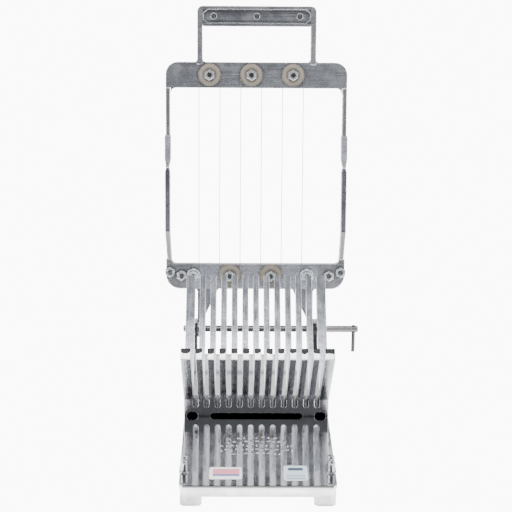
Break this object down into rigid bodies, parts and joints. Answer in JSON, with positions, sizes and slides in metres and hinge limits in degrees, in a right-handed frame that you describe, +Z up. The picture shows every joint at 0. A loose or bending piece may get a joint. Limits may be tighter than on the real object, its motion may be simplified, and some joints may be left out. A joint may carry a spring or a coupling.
{
  "type": "wire-frame food dicer",
  "caption": "Countertop wire dicer: slotted V cradle on a cast base and a swing-down handled frame strung with a continuous cutting wire.",
  "frame": {"origin": "on the counter, at mid width, straight below the front foot faces of the V cradle", "axes": "+X to the right along the pivot rod, +Y to the rear towards the pivot, +Z up"},
  "size_m": [0.1808, 0.3118, 0.3454],
  "materials": {
    "cast_polished": "polished cast aluminium",
    "cast_satin": "satin ground cast aluminium",
    "cast_grey": "tumbled cast aluminium",
    "zinc_steel": "zinc plated",
    "stainless": "bright drawn stainless steel",
    "wheel_resin": "moulded tan resin",
    "sticker_white": "printed film",
    "sticker_blue": "printed film"
  },
  "bodies": {
    "base": {"base_casting": "cast_polished", "food_cradle": "cast_grey", "cradle_screws": "zinc_steel", "label_left": "sticker_white", "label_right": "sticker_blue"},
    "frame": {"upper_frame": "cast_satin", "lower_bar": "cast_satin", "frame_bolts": "zinc_steel", "frame_nuts": "zinc_steel", "wheel_screws": "zinc_steel", "wheel_nuts": "zinc_steel", "anchor_drum_left": "zinc_steel", "anchor_drum_right": "zinc_steel", "anchor_screws": "zinc_steel", "anchor_nuts": "zinc_steel", "cutting_wire": "stainless"},
    "rod": {"pivot_rod": "stainless", "pull_pin": "stainless"},
    "wheel_top_left": {"top_wheel_left": "wheel_resin"},
    "wheel_top_center": {"top_wheel_center": "wheel_resin"},
    "wheel_top_right": {"top_wheel_right": "wheel_resin"},
    "wheel_bottom_left": {"bottom_wheel_left": "wheel_resin"},
    "wheel_bottom_right": {"bottom_wheel_right": "wheel_resin"}
  },
  "joints": [
    {"name": "frame_swing", "type": "hinge", "parent": "base", "child": "frame", "pos_m": [0, 0.123, 0.0504], "axis": [1, 0, 0], "range_deg": [0, 104.4]},
    {"name": "rod_pull", "type": "slide", "parent": "base", "child": "rod", "axis": [1, 0, 0], "range_m": [0, 0.135]},
    {"name": "top_left_wheel_turn", "type": "hinge", "parent": "frame", "child": "wheel_top_left", "pos_m": [-0.04286, 0.15881, 0.28446], "axis": [0, -0.9842, 0.1771], "range_deg": [-180, 180]},
    {"name": "top_center_wheel_turn", "type": "hinge", "parent": "frame", "child": "wheel_top_center", "pos_m": [-0.00476, 0.15881, 0.28446], "axis": [0, -0.9842, 0.1771], "range_deg": [-180, 180]},
    {"name": "top_right_wheel_turn", "type": "hinge", "parent": "frame", "child": "wheel_top_right", "pos_m": [0.03334, 0.15881, 0.28446], "axis": [0, -0.9842, 0.1771], "range_deg": [-180, 180]},
    {"name": "bottom_left_wheel_turn", "type": "hinge", "parent": "frame", "child": "wheel_bottom_left", "pos_m": [-0.02381, 0.12602, 0.10218], "axis": [0, -0.9842, 0.1771], "range_deg": [-180, 180]},
    {"name": "bottom_right_wheel_turn", "type": "hinge", "parent": "frame", "child": "wheel_bottom_right", "pos_m": [0.01429, 0.12602, 0.10218], "axis": [0, -0.9842, 0.1771], "range_deg": [-180, 180]}
  ],
  "couplings": [
    {"joint": "top_center_wheel_turn", "follows": "top_left_wheel_turn", "ratio": 1},
    {"joint": "top_right_wheel_turn", "follows": "top_left_wheel_turn", "ratio": 1},
    {"joint": "bottom_left_wheel_turn", "follows": "top_left_wheel_turn", "ratio": -1},
    {"joint": "bottom_right_wheel_turn", "follows": "top_left_wheel_turn", "ratio": -1}
  ]
}
